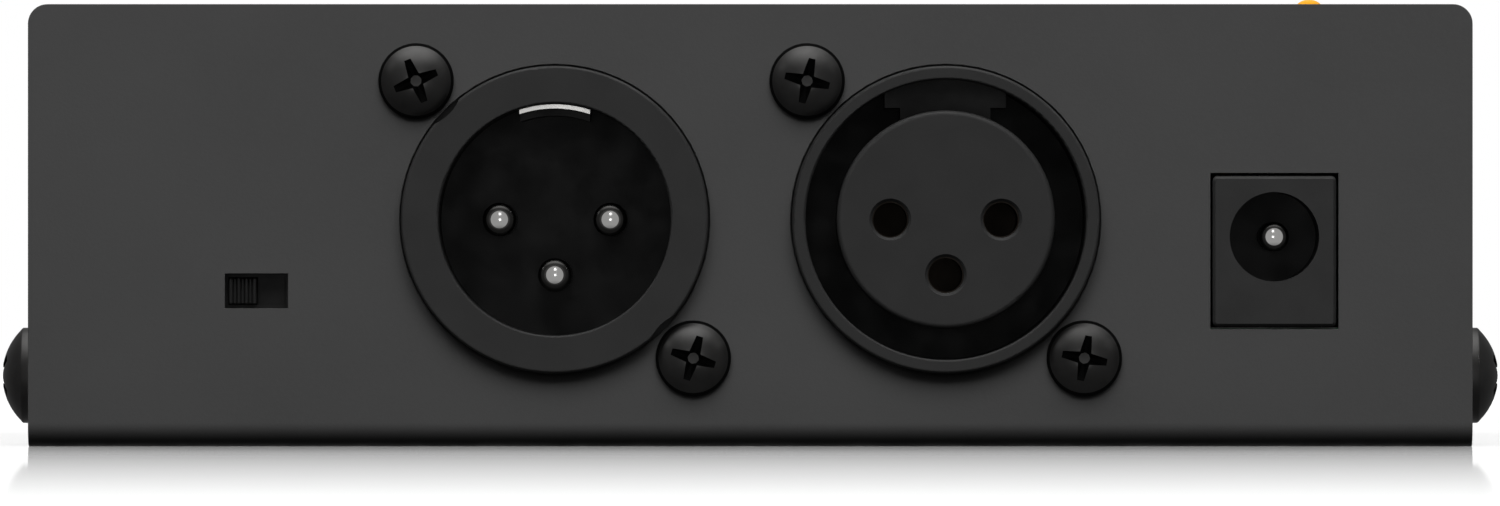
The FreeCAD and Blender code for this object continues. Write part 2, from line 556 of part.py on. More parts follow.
# ---------------------------------------------------------------- front jacks
nuts, washers = [], []
for name, x in JACKS.items():
    shell = box(x - 7.8, x + 7.8, 31.4, FRONT_BACK, BOARD_Z1, 25.2)
    shell = eased(shell, 0.6, lambda e: abs(e.CenterOfMass.z - 25.2) < 0.01)
    shell = without(
        shell,
        box(x - 6.4, x + 6.4, 33.0, 55.0, 9.9, 23.8),
        box(x - 6.05, x + 6.05, 54.0, FRONT, JACK_Z - 6.05, JACK_Z + 6.05),
        box(x + 4.0, x + 4.3, 36.0, 37.2, 8.0, 10.5),
    )
    save(name + "_housing", shell)
    bushing = joined(
        rod_y(x, JACK_Z, 6.0, 56.5, FRONT_BACK),
        rod_y(x, JACK_Z, THREAD_R, 56.5, BUSH_END),
    )
    bushing = eased(bushing, 0.4, round_at(BUSH_END, THREAD_R, x, JACK_Z), True)
    save(name + "_bushing", bushing.cut(rod_y(x, JACK_Z, JACK_BORE_R, 50.0, BUSH_END + 1)))
    leaf = joined(
        box(x + 4.0, x + 4.3, 36.0, 52.0, JACK_Z - 1.5, JACK_Z + 1.5),
        box(x + 4.0, x + 4.3, 36.0, 37.2, TAIL_Z, JACK_Z + 1.5),
    )
    save(name + "_spring", leaf)
    drill(x + 4.15, 36.6, 0.75)
    washer = rod_y(x, JACK_Z, 7.4, FRONT, FRONT + 0.6)
    washers.append(washer.cut(rod_y(x, JACK_Z, THREAD_R + 0.05, FRONT - 1, FRONT + 2)))
    corners = []
    for i in range(6):
        a = math.radians(60 * i + 30)
        r = 6.35 / math.cos(math.radians(30))
        corners.append(V(x + r * math.cos(a), FRONT + 0.6, JACK_Z + r * math.sin(a)))
    nut = prism(corners, V(0, 2.4, 0))
    cone = Part.makeCone(7.4, 6.0, 1.4, V(x, FRONT + 1.9, JACK_Z), V(0, 1, 0))
    nut = nut.common(joined(rod_y(x, JACK_Z, 7.4, FRONT, FRONT + 1.9), cone))
    nuts.append(nut.cut(rod_y(x, JACK_Z, THREAD_R + 0.02, FRONT, FRONT + 4)))
save("jack_nuts", *nuts)
save("jack_washers", *washers)

# ---------------------------------------------------------------- board and standoffs
board = box(-46.5, 46.5, -57.3, 57.0, BOARD_Z0, BOARD_Z1)
board = without(board, box(-28.0, 28.0, -60.0, -38.2, 0, 20), *drilled)
board = without(board, *[rod_z(x, y, 1.6, 0, 20) for x, y in STANDOFFS])
save("circuit_board", board)
standoffs, board_screws = [], []
for x, y in STANDOFFS:
    post = joined(rod_z(x, y, 2.08, 0.05, 2.0), rod_z(x, y, 2.75, SHEET, BOARD_Z0))
    standoffs.append(post.cut(rod_z(x, y, 1.52, 2.2, BOARD_Z0 + 1)))
    s = domed_screw(2.8, 0.5, 1.9, 1.5, 4.6, 1.6, 0.5, 1.1, 25.0)
    s.translate(V(x, y, BOARD_Z1))
    board_screws.append(s)
save("board_standoffs", *standoffs)
save("board_screws", *board_screws)
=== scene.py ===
# %% [markdown]
# A small direct injection box: a folded steel tray and cover, two three-pin audio connectors, a DC
# jack, a slide switch and a status light. The sizes and places of all pieces come from the packed
# CAD model, which is loaded first and never moved. Everything below gives it finishes and finer
# detail. All lengths are in metres, so mm is a handy factor.

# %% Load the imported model
import math
import bmesh
import bpy
from mathutils import Matrix, Quaternion, Vector


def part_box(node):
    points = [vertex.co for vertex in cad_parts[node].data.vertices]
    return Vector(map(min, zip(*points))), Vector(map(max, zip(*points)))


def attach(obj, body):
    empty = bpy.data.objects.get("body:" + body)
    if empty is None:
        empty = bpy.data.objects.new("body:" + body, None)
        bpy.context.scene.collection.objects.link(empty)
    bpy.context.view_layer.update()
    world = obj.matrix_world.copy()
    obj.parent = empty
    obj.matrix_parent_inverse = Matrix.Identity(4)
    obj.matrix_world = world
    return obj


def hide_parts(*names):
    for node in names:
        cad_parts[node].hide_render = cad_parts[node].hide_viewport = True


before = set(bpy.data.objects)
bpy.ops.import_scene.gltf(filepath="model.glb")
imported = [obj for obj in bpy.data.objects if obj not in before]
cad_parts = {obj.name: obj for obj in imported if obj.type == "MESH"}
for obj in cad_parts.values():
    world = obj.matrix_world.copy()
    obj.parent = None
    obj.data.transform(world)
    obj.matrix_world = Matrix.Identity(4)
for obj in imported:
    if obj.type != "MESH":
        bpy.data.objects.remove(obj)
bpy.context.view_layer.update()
mm = 0.001
ENCLOSURE, SLIDER = "enclosure", "switch_slider"

# %% [markdown]
# Two kinds of node tree are built in this lesson, shader trees and geometry trees, and both are made
# of the same few steps: add a node, set its options, and fill or wire its inputs. One helper that
# does all three keeps each tree short enough to read as a recipe.

# %% A helper that adds one node
def add_node(tree, kind, options=None, **inputs):
    """Adds a node. A keyword names an input, with _ for a space, or i0, i1 for its number."""
    node = tree.nodes.new(kind)
    for key, value in (options or {}).items():
        setattr(node, key, value)
    for key, value in inputs.items():
        numbered = key[0] == "i" and key[1:].isdigit()
        socket = node.inputs[int(key[1:])] if numbered else node.inputs[key.replace("_", " ")]
        if isinstance(value, bpy.types.NodeSocket):
            tree.links.new(value, socket)
        else:
            socket.default_value = value
    return node


def math_node(tree, operation, a, b=0.0, c=0.0):
    """One sum on two or three numbers or sockets; returns the answer's socket."""
    return add_node(tree, "ShaderNodeMath", {"operation": operation}, i0=a, i1=b, i2=c).outputs[0]


# %% [markdown]
# Real surfaces are never one flat colour. Powder coat has a fine orange-peel skin, moulded nylon has
# flow marks and a faint speckle, and plated metal is polished unevenly. All of them can be made from
# the same three noise patterns: a broad one that shades the colour, a middle one that varies the
# roughness, and a fine one for the bump. They read Object coordinates, which here are real metres,
# so a scale of 4000 means detail a quarter of a millimetre across.

# %% The base recipe for every finish
def new_finish(name):
    material = bpy.data.materials.new(name)
    material.use_nodes = True
    tree = material.node_tree
    shader = tree.nodes["Principled BSDF"]
    place = add_node(tree, "ShaderNodeTexCoord").outputs["Object"]
    return material, tree, shader, place


def noise(tree, place, scale, detail=3.0, roughness=0.5):
    return add_node(tree, "ShaderNodeTexNoise", Vector=place, Scale=scale, Detail=detail,
                    Roughness=roughness).outputs["Fac"]


def between(tree, value, low, high, from_low=0.3, from_high=0.7):
    """Spreads a 0 to 1 pattern over the range that a roughness or a mix needs."""
    return add_node(tree, "ShaderNodeMapRange", Value=value, From_Min=from_low, From_Max=from_high,
                    To_Min=low, To_Max=high).outputs["Result"]


def blend_colours(tree, factor, a, b):
    mix = add_node(tree, "ShaderNodeMix", {"data_type": "RGBA"}, i0=factor)
    for number, value in ((6, a), (7, b)):
        if isinstance(value, bpy.types.NodeSocket):
            tree.links.new(value, mix.inputs[number])
        else:
            mix.inputs[number].default_value = (*value, 1.0)
    return mix.outputs[2]


def stretched(tree, place, stretch):
    """Squeezes the pattern's space, so that noise turns into brushed lines."""
    return add_node(tree, "ShaderNodeMapping", Vector=place, Scale=stretch).outputs["Vector"]


def finish(name, colour, vary=0.1, rough=(0.4, 0.55), metal=0.0, grain=4000.0, depth=0.02,
           broad=150.0, specular=0.5, coat=0.0, stretch=None):
    """A finish with shaded colour, uneven roughness and a fine bump. depth is in millimetres."""
    material, tree, shader, place = new_finish(name)
    fine_place = stretched(tree, place, stretch) if stretch else place
    dark = tuple(c * (1 - vary) for c in colour)
    light = tuple(min(c * (1 + vary), 1.0) for c in colour)
    shade = blend_colours(tree, between(tree, noise(tree, place, broad), 0, 1), dark, light)
    speck = between(tree, noise(tree, fine_place, grain * 0.5, 1.0), 0.0, 1.0, 0.45, 0.75)
    shade = blend_colours(tree, math_node(tree, "MULTIPLY", speck, 0.35), shade, light)
    tree.links.new(shade, shader.inputs["Base Color"])
    patchy = noise(tree, fine_place, grain * 0.12, 2.0)
    tree.links.new(between(tree, patchy, *rough), shader.inputs["Roughness"])
    bump = add_node(tree, "ShaderNodeBump", Strength=0.5, Distance=depth * mm,
                    Height=noise(tree, fine_place, grain, 2.0))
    tree.links.new(bump.outputs["Normal"], shader.inputs["Normal"])
    shader.inputs["Metallic"].default_value = metal
    shader.inputs["Specular IOR Level"].default_value = specular
    shader.inputs["Coat Weight"].default_value = coat
    shader.inputs["Coat Roughness"].default_value = 0.12
    return material


# %% [markdown]
# Black zinc is given painted shade in a screw's recess and round the foot of its head. Those faces
# carry an attribute called recess, and the finish paints them darker, and rougher, by it. The pins
# get painted shade too: near-black nickel along their sides, and a smoother silver crown at the tip.

# %% The finishes of the outside
powder_coat = finish("charcoal_powder_coat", (0.0555, 0.0555, 0.0555), 0.05, (0.58, 0.68),
                     grain=5200.0, depth=0.012, broad=60.0, specular=0.12)
ring_nylon = finish("satin_black_nylon", (0.0178, 0.0178, 0.0178), 0.06, (0.4, 0.52),
                    grain=3800.0, depth=0.008, broad=260.0, specular=0.3)
jack_plastic = finish("black_moulded_plastic", (0.0178, 0.0178, 0.0178), 0.12, (0.38, 0.5),
                      grain=3200.0, depth=0.008, broad=300.0, specular=0.3)
switch_plastic = finish("black_switch_plastic", (0.008, 0.008, 0.008), 0.12, (0.34, 0.48),
                        grain=5000.0, depth=0.006, broad=500.0, specular=0.2)
black_zinc = finish("black_zinc_plate", (0.074, 0.073, 0.072), 0.15, (0.34, 0.44), metal=1.0,
                    grain=2600.0, depth=0.004, broad=500.0)
tree = black_zinc.node_tree
shader, recess = tree.nodes["Principled BSDF"], add_node(
    tree, "ShaderNodeAttribute", {"attribute_name": "recess"}).outputs["Fac"]
# Painted shade: the recess attribute mixes a near-black colour and a high roughness into the finish.
for name, dull_and_painted_shade in (("Base Color", (0.012, 0.012, 0.012, 1.0)), ("Roughness", 0.8)):
    inner = shader.inputs[name].links[0].from_socket
    mix = add_node(tree, "ShaderNodeMix",
                   {"data_type": "RGBA" if name == "Base Color" else "FLOAT"}, i0=recess)
    here, there, out = (6, 7, 2) if name == "Base Color" else (2, 3, 0)
    tree.links.new(inner, mix.inputs[here])
    mix.inputs[there].default_value = dull_and_painted_shade
    tree.links.new(mix.outputs[out], shader.inputs[name])
# This near-black nickel on the pins' sides is painted shade, not their plating's own colour.
shaded_pin_nickel = finish("dulled_nickel", (0.07, 0.069, 0.067), 0.08, (0.2, 0.3), metal=1.0,
                     grain=2600.0, depth=0.003, broad=600.0)
crown_silver = finish("burnished_silver", (0.56, 0.555, 0.545), 0.04, (0.06, 0.1), metal=1.0,
                      grain=1500.0, depth=0.001, broad=900.0)
# This near-black bronze on the female contacts, deep in their holes, is painted shade.
shaded_contact_bronze = finish("darkened_bronze", (0.05, 0.042, 0.035), 0.15, (0.4, 0.55), metal=1.0,
                     grain=2600.0, depth=0.004, broad=700.0)
silver_plate = finish("silver_plate", (0.8, 0.79, 0.77), 0.03, (0.24, 0.3), metal=1.0,
                      grain=3000.0, depth=0.001, broad=700.0, stretch=(1.0, 0.12, 1.0))
nickel = finish("bright_nickel", (0.66, 0.65, 0.63), 0.05, (0.16, 0.28), metal=1.0,
                grain=2600.0, depth=0.003, broad=400.0)
print("outside finishes:", [m.name for m in (powder_coat, ring_nylon, black_zinc, nickel)])

# %% [markdown]
# The status light's epoxy is amber and clear enough to glow when lit, so its finish adds a little
# emission. The chip sits low in the lens, so the glow is strongest there and fades towards the tip.

# %% The amber lens
amber_epoxy, tree, shader, place = new_finish("amber_epoxy")
glow = between(tree, noise(tree, place, 900.0), 0.85, 1.1)
height = add_node(tree, "ShaderNodeSeparateXYZ", Vector=place).outputs["Z"]
tip = between(tree, height, 0.0, 1.0, 31.0 * mm, 32.2 * mm)
tint = blend_colours(tree, tip, (0.55, 0.25, 0.008), (0.46, 0.21, 0.006))
tree.links.new(tint, shader.inputs["Base Color"])
tree.links.new(tint, shader.inputs["Emission Color"])
tree.links.new(math_node(tree, "MULTIPLY", glow, 0.22), shader.inputs["Emission Strength"])
tree.links.new(between(tree, noise(tree, place, 2500.0), 0.25, 0.35), shader.inputs["Roughness"])
shader.inputs["Specular IOR Level"].default_value = 0.05

# %% [markdown]
# Under the cover there are about a dozen more finishes: solder mask, enamelled wire, varnished steel,
# lacquered resistors. Most use the base recipe again with other numbers.

# %% The finishes of the inside
tin_plate = finish("dull_tin_plate", (0.6, 0.6, 0.58), 0.08, (0.3, 0.45), 1.0, 2600.0, 0.004)
zinc_plate = finish("clear_zinc_plate", (0.55, 0.56, 0.58), 0.1, (0.22, 0.36), 1.0, 2200.0, 0.004)
brass_post = finish("turned_brass", (0.62, 0.42, 0.16), 0.08, (0.24, 0.36), 1.0, 2000.0, 0.004,
                    stretch=(1.0, 1.0, 0.1))
core_varnish = finish("varnished_steel", (0.06, 0.05, 0.045), 0.25, (0.35, 0.55), 0.7, 1500.0, 0.02)
enamelled_wire = finish("enamelled_copper", (0.42, 0.12, 0.03), 0.15, (0.2, 0.32), 0.9, 1800.0,
                        0.004, coat=0.3)
natural_nylon = finish("natural_nylon", (0.5, 0.46, 0.34), 0.05, (0.4, 0.5), 0.0, 1500.0, 0.01)
chip_epoxy = finish("moulded_chip_epoxy", (0.012, 0.012, 0.013), 0.2, (0.45, 0.6), 0.0, 5000.0,
                    0.02)
film_box_red = finish("red_film_box", (0.36, 0.035, 0.02), 0.06, (0.25, 0.35), 0.0, 1500.0, 0.006)
solder = finish("soft_solder", (0.62, 0.62, 0.61), 0.06, (0.15, 0.3), 1.0, 1200.0, 0.02)

# %% [markdown]
# Copies of one part share one mesh, so a pattern on Object coordinates would run straight through
# all of them. Each copy instead carries its own coordinates in an attribute called own_place, which
# the geometry tree stores before it sets the copies out. Colour bands and stripes read that.

# %% Finishes that follow each copy's own shape
def own_axis(tree, axis):
    """One axis of the copy's own coordinates, in metres."""
    place = add_node(tree, "ShaderNodeAttribute", {"attribute_name": "own_place"})
    return add_node(tree, "ShaderNodeSeparateXYZ", Vector=place.outputs["Vector"]).outputs[axis]


def banded(name, base, bands, axis, rough=(0.2, 0.3)):
    """Paints rings (start, end, colour), in millimetres along one axis, over a base colour."""
    material, tree, shader, place = new_finish(name)
    along = own_axis(tree, axis)
    speck = between(tree, noise(tree, place, 1800.0), 0.9, 1.0)
    shade = blend_colours(tree, speck, tuple(c * 0.7 for c in base), base)
    for start, end, colour in bands:
        middle, half = (start + end) / 2 * mm, (end - start) / 2 * mm
        away = math_node(tree, "ABSOLUTE", math_node(tree, "SUBTRACT", along, middle))
        shade = blend_colours(tree, math_node(tree, "LESS_THAN", away, half), shade, colour)
    tree.links.new(shade, shader.inputs["Base Color"])
    tree.links.new(between(tree, noise(tree, place, 900.0), *rough), shader.inputs["Roughness"])
    bump = add_node(tree, "ShaderNodeBump", Strength=0.4, Distance=0.01 * mm,
                    Height=noise(tree, place, 2400.0))
    tree.links.new(bump.outputs["Normal"], shader.inputs["Normal"])
    return material


resistor_lacquer = banded("blue_resistor_lacquer", (0.2, 0.36, 0.46), [
    (-2.3, -1.9, (0.25, 0.08, 0.02)), (-1.3, -0.9, (0.02, 0.02, 0.02)),
    (-0.5, -0.1, (0.02, 0.02, 0.02)), (0.3, 0.7, (0.5, 0.08, 0.01)),
    (1.9, 2.3, (0.25, 0.08, 0.02))], "Z")
diode_epoxy = banded("diode_epoxy", (0.015, 0.015, 0.015), [(1.3, 1.9, (0.6, 0.6, 0.58))], "Z",
                     (0.35, 0.45))
can_sleeve = banded("dark_can_sleeve", (0.012, 0.016, 0.05), [(11.28, 13.0, (0.6, 0.6, 0.6))], "Z")
print("inside finishes:", len(bpy.data.materials), "materials in all")

# %% [markdown]
# The circuit board is glass-fibre laminate under green solder mask. Copper tracks show through the
# mask as paler lines. The mortar of a brick pattern with long thin bricks gives believable runs of
# parallel tracks without drawing any particular circuit.

# %% The circuit board's finish
solder_mask, tree, shader, place = new_finish("green_solder_mask")
weave = between(tree, noise(tree, stretched(tree, place, (1.0, 4.0, 1.0)), 1400.0), 0.0, 1.0)
mask = blend_colours(tree, weave, (0.006, 0.06, 0.022), (0.009, 0.085, 0.03))
tracks = add_node(tree, "ShaderNodeTexBrick", {"offset": 0.37, "squash": 0.6}, Vector=place,
                  Color1=(0, 0, 0, 1), Color2=(0, 0, 0, 1), Mortar=(1, 1, 1, 1), Scale=1.0,
                  Mortar_Size=0.00035, Mortar_Smooth=0.0, Brick_Width=0.0152, Row_Height=0.00254)
mask = blend_colours(tree, math_node(tree, "MULTIPLY", tracks.outputs["Fac"], 0.75), mask,
                     (0.03, 0.16, 0.05))
tree.links.new(mask, shader.inputs["Base Color"])
tree.links.new(between(tree, noise(tree, place, 500.0), 0.22, 0.34), shader.inputs["Roughness"])
bump = add_node(tree, "ShaderNodeBump", Strength=0.6, Distance=0.03 * mm,
                Height=tracks.outputs["Fac"])
tree.links.new(bump.outputs["Normal"], shader.inputs["Normal"])

# %% [markdown]
# Every piece of the visual model is attached to the body it moves with, hides the CAD nodes it
# stands in for and wears its finish. One function does all three.

# %% Adding a piece to the model
def add_piece(name, mesh, body, replaces=(), material=None):
    piece = bpy.data.objects.new(name, mesh)
    bpy.context.scene.collection.objects.link(piece)
    if material is not None:
        mesh.materials.clear()
        mesh.materials.append(material)
    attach(piece, body)
    if replaces:
        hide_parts(*replaces)
    print(f"{name}: {len(mesh.polygons)} faces on {body}")
    return piece


def dress(material, *nodes):
    """Gives CAD nodes whose shape is already right their finish."""
    for node in nodes:
        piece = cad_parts[node]
        piece.data.materials.clear()
        piece.data.materials.append(material)


def evaluated_mesh(obj):
    """The object's mesh with its modifiers applied; the object itself is removed."""
    bpy.context.view_layer.update()
    graph = bpy.context.evaluated_depsgraph_get()
    mesh = bpy.data.meshes.new_from_object(obj.evaluated_get(graph))
    bpy.data.objects.remove(obj)
    return mesh


# %% [markdown]
# Folded sheet that has been powder coated has no knife edges: the coat pulls back a little and
# rounds every cut edge. The CAD sheet metal is exact but sharp, so a copy of its mesh is welded, its
# flat triangles are dissolved into whole faces and a narrow bevel is run along every hard edge.

# %% A copy of a CAD node with eased edges
def eased_copy(node, width, segments=2, hard=math.radians(35)):
    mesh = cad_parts[node].data.copy()
    shape = bmesh.new()
    shape.from_mesh(mesh)
    bmesh.ops.remove_doubles(shape, verts=shape.verts, dist=0.0005 * mm)
    bmesh.ops.dissolve_limit(shape, angle_limit=math.radians(0.5), verts=shape.verts,
                             edges=shape.edges)
    shape.to_mesh(mesh)
    shape.free()
    if mesh.attributes.get("custom_normal"):
        mesh.attributes.remove(mesh.attributes["custom_normal"])
    mesh.shade_smooth()
    lowest = min(vert.co.z for vert in mesh.vertices)
    carrier = bpy.data.objects.new(node + "_eased", mesh)
    bpy.context.scene.collection.objects.link(carrier)
    bevel = carrier.modifiers.new("eased edges", "BEVEL")
    bevel.width, bevel.segments, bevel.angle_limit = width, segments, hard
    bevel.limit_method, bevel.use_clamp_overlap, bevel.harden_normals = "ANGLE", True, True
    eased = evaluated_mesh(carrier)
    for vert in eased.vertices:
        vert.co.z = max(vert.co.z, lowest)
    return eased


for node in ("base_tray", "top_cover"):
    add_piece(node + "_coated", eased_copy(node, 0.14 * mm), ENCLOSURE, [node],
              powder_coat)

# %% [markdown]
# Screws, nuts, resistors and posts are turned on a lathe or moulded in one die and then used many
# times. The lathe here is a short function: it spins a half profile, a list of (radius, height)
# points, around the Z axis. A profile that starts and ends on the axis gives a closed solid, and one
# that keeps off it is closed into a ring.

# %% A lathe
def turned(name, profile, around=48):
    """A closed shape of revolution about Z. Sizes are in millimetres."""
    shape = bmesh.new()
    rings = []
    for radius, height in profile:
        if radius < 1e-6:
            rings.append([shape.verts.new((0.0, 0.0, height * mm))])
            continue
        ring = []
        for step in range(around):
            angle = 2 * math.pi * step / around
            ring.append(shape.verts.new((radius * mm * math.cos(angle),
                                         radius * mm * math.sin(angle), height * mm)))
        rings.append(ring)
    closed = profile[0][0] > 1e-6
    pairs = list(zip(rings, rings[1:])) + ([(rings[-1], rings[0])] if closed else [])
    for low, high in pairs:
        for step in range(around):
            after = (step + 1) % around
            corners = [low[step % len(low)], low[after % len(low)],
                       high[after % len(high)], high[step % len(high)]]
            kept = [v for i, v in enumerate(corners) if v not in corners[:i]]
            if len(kept) > 2:
                shape.faces.new(kept)
    bmesh.ops.recalc_face_normals(shape, faces=shape.faces)
    mesh = bpy.data.meshes.new(name)
    shape.to_mesh(mesh)
    shape.free()
    return mesh


def arc(centre, radius, start, end, steps=6):
    """Profile points on an arc, angles in degrees from the radius direction towards +Z."""
    points = []
    for step in range(steps + 1):
        angle = math.radians(start + (end - start) * step / steps)
        points.append((centre[0] + radius * math.cos(angle),
                       centre[1] + radius * math.sin(angle)))
    return points


# %% [markdown]
# Geometry Nodes set the copies out. The input mesh is one point per copy, and each point carries its
# turn in an attribute called facing. The tree makes one part, notes its own coordinates, puts it on
# every point, makes the copies real and gives them their material. What differs from tree to tree is
# only how the one part is made, so that is handed in as a function that adds its nodes.

# %% A tree that makes one part and sets out its copies
SOCKETS = {float: "NodeSocketFloat", bpy.types.Object: "NodeSocketObject",
           bpy.types.Material: "NodeSocketMaterial"}


def set_out(name, places, make_part, values):
    """Builds the tree, runs it on the places [(point in mm, outward direction, turn), ...] and
    returns the result as a plain mesh. values are the tree's named inputs."""
    tree = bpy.data.node_groups.new(name, "GeometryNodeTree")
    tree.interface.new_socket("Places", in_out="INPUT", socket_type="NodeSocketGeometry")
    for label, value in values.items():
        tree.interface.new_socket(label, in_out="INPUT", socket_type=SOCKETS[type(value)])
    tree.interface.new_socket("Pieces", in_out="OUTPUT", socket_type="NodeSocketGeometry")
    given = add_node(tree, "NodeGroupInput").outputs
    own = add_node(tree, "GeometryNodeInputPosition").outputs["Position"]
    part = add_node(tree, "GeometryNodeStoreNamedAttribute",
                    {"data_type": "FLOAT_VECTOR", "domain": "POINT"},
                    Geometry=make_part(tree, given), Name="own_place", Value=own)
    facing = add_node(tree, "GeometryNodeInputNamedAttribute", {"data_type": "FLOAT_VECTOR"},
                      Name="facing")
    copies = add_node(tree, "GeometryNodeInstanceOnPoints", Points=given["Places"],
                      Instance=part.outputs["Geometry"], Rotation=facing.outputs["Attribute"])
    real = add_node(tree, "GeometryNodeRealizeInstances", Geometry=copies.outputs["Instances"])
    painted = add_node(tree, "GeometryNodeSetMaterial", Geometry=real.outputs["Geometry"],
                       Material=given["Material"])
    add_node(tree, "NodeGroupOutput", Pieces=painted.outputs["Geometry"])

    points = bpy.data.meshes.new(name + "_places")
    points.from_pydata([Vector(spot) * mm for spot, _, _ in places], [], [])
    turns = points.attributes.new("facing", "FLOAT_VECTOR", "POINT")
    for number, (_, outward, turn) in enumerate(places):
        spin = Quaternion((0, 0, 1), math.radians(turn))
        aim = Vector((0, 0, 1)).rotation_difference(Vector(outward))
        turns.data[number].vector = (aim @ spin).to_euler()
    carrier = bpy.data.objects.new(name, points)
    bpy.context.scene.collection.objects.link(carrier)
    modifier = carrier.modifiers.new(name, "NODES")
    modifier.node_group = tree
    for item in tree.interface.items_tree:
        if item.name in values:
            modifier[item.identifier] = values[item.name]
    mesh = evaluated_mesh(carrier)
    mesh.set_sharp_from_angle(angle=math.radians(35))
    return mesh


def blank(mesh):
    """An unlinked object that only hands its mesh to a tree."""
    return bpy.data.objects.new(mesh.name, mesh)


def from_blank(tree, given):
    """The plainest part: the blank as it comes off the lathe or out of the mould."""
    return add_node(tree, "GeometryNodeObjectInfo", Object=given["Blank"]).outputs["Geometry"]


def joined(tree, *parts):
    join = add_node(tree, "GeometryNodeJoinGeometry")
    for part in parts:
        tree.links.new(part, join.inputs["Geometry"])
    return join.outputs["Geometry"]


def moved(tree, part, x=0.0, y=0.0, z=0.0):
    shift = add_node(tree, "ShaderNodeCombineXYZ", X=x, Y=y, Z=z)
    return add_node(tree, "GeometryNodeTransform", Geometry=part,
                    Translation=shift.outputs["Vector"]).outputs["Geometry"]


def box_part(tree, width, depth, height):
    size = add_node(tree, "ShaderNodeCombineXYZ", X=width, Y=depth, Z=height)
    return add_node(tree, "GeometryNodeMeshCube", Size=size.outputs["Vector"]).outputs["Mesh"]


def less(tree, part, *cutters):
    """The part with each cutter's room taken out of it."""
    for cutter in cutters:
        cut = add_node(tree, "GeometryNodeMeshBoolean",
                       {"operation": "DIFFERENCE", "solver": "EXACT"}, Mesh_1=part, Mesh_2=cutter)
        part = cut.outputs["Mesh"]
    return part


print("a tree's named inputs can be:", sorted(SOCKETS.values()))

# %% [markdown]
# A thread is a rule: the radius dips once per pitch, and the dip moves one pitch along for each turn
# round. A flat grid is rolled into a tube by that rule. Its columns are the angle, its rows are the
# height, and both end rows are drawn in to the axis so that the rod is closed.

# %% Nodes for a threaded rod
def threaded_rod(tree, radius, depth, pitch, length, lead, around=24, rows=96):
    grid = add_node(tree, "GeometryNodeMeshGrid", Size_X=1.0, Size_Y=1.0, Vertices_X=around + 1,
                    Vertices_Y=rows + 1)
    spot = add_node(tree, "ShaderNodeSeparateXYZ",
                    Vector=add_node(tree, "GeometryNodeInputPosition").outputs["Position"])
    turn = math_node(tree, "ADD", spot.outputs["X"], 0.5)
    along = math_node(tree, "ADD", spot.outputs["Y"], 0.5)
    height = math_node(tree, "MULTIPLY", along, length)
    phase = math_node(tree, "FRACT", math_node(tree, "SUBTRACT",
                                               math_node(tree, "DIVIDE", height, pitch), turn))
    dip = math_node(tree, "ABSOLUTE", math_node(tree, "MULTIPLY_ADD", phase, 2.0, -1.0))
    crest = math_node(tree, "SUBTRACT", radius, math_node(tree, "MULTIPLY", dip, depth))
    to_end = math_node(tree, "MINIMUM", height, math_node(tree, "SUBTRACT", length, height))
    short = math_node(tree, "MAXIMUM", math_node(tree, "SUBTRACT", lead, to_end), 0.0)
    crest = math_node(tree, "MINIMUM", crest, math_node(tree, "SUBTRACT", radius, short))
    inside = math_node(tree, "MULTIPLY", math_node(tree, "GREATER_THAN", along, 0.0005),
                       math_node(tree, "LESS_THAN", along, 0.9995))
    reach = math_node(tree, "MULTIPLY", crest, inside)
    angle = math_node(tree, "MULTIPLY", turn, 2 * math.pi)
    rolled = add_node(tree, "ShaderNodeCombineXYZ",
                      X=math_node(tree, "MULTIPLY", reach, math_node(tree, "COSINE", angle)),
                      Y=math_node(tree, "MULTIPLY", reach, math_node(tree, "SINE", angle)),
                      Z=height)
    tube = add_node(tree, "GeometryNodeSetPosition", Geometry=grid.outputs["Mesh"],
                    Position=rolled.outputs["Vector"])
    welded = add_node(tree, "GeometryNodeMergeByDistance", Geometry=tube.outputs["Geometry"],
                      Distance=0.001 * mm)
    return welded.outputs["Geometry"]


# %% [markdown]
# All the screws are domed with a cross recess. The head comes off the lathe, and a cross-shaped
# punch is then cut out of it, as happens when a real screw is headed. The same tree, with another
# blank, another punch and other numbers, makes the big cover screws, the smaller ones that hold the
# connectors and the ones under the cover.

# %% Domed screws
def domed_head(name, radius, rim, height, flat):
    """The lathe's half profile of a head that sits on z = 0, with a rolled edge and a small flat
    crown of the given radius."""
    cap = height - rim
    ball = (radius ** 2 + cap ** 2) / (2 * cap)
    low_end = math.degrees(math.acos((radius - 0.21) / ball))
    high_end = math.degrees(math.acos(flat / ball))
    dome = arc((0.0, height - ball), ball, low_end, high_end, 14)
    edge = dome[0][1]
    roll = [(radius - 0.1, edge - 0.09), (radius - 0.02, edge - 0.2)]
    foot = [(0.0, 0.0), (radius - 0.12, 0.0), (radius, 0.04)]
    mesh = turned(name, foot + roll[::-1] + dome + [(0.0, dome[-1][1])], 64)
    # The foot of the head is marked for painted shade.
    return blank(mark_painted_shade(mesh, lambda face: face.center.z < min(edge - 0.01, 0.47) * mm))


def mark_painted_shade(mesh, chosen):
    """Writes the attribute that tells the finish which faces get painted shade and more roughness."""
    layer = mesh.attributes.new("recess", "FLOAT", "FACE")
    for face in mesh.polygons:
        layer.data[face.index].value = 1.0 if chosen(face) else 0.0
    return mesh


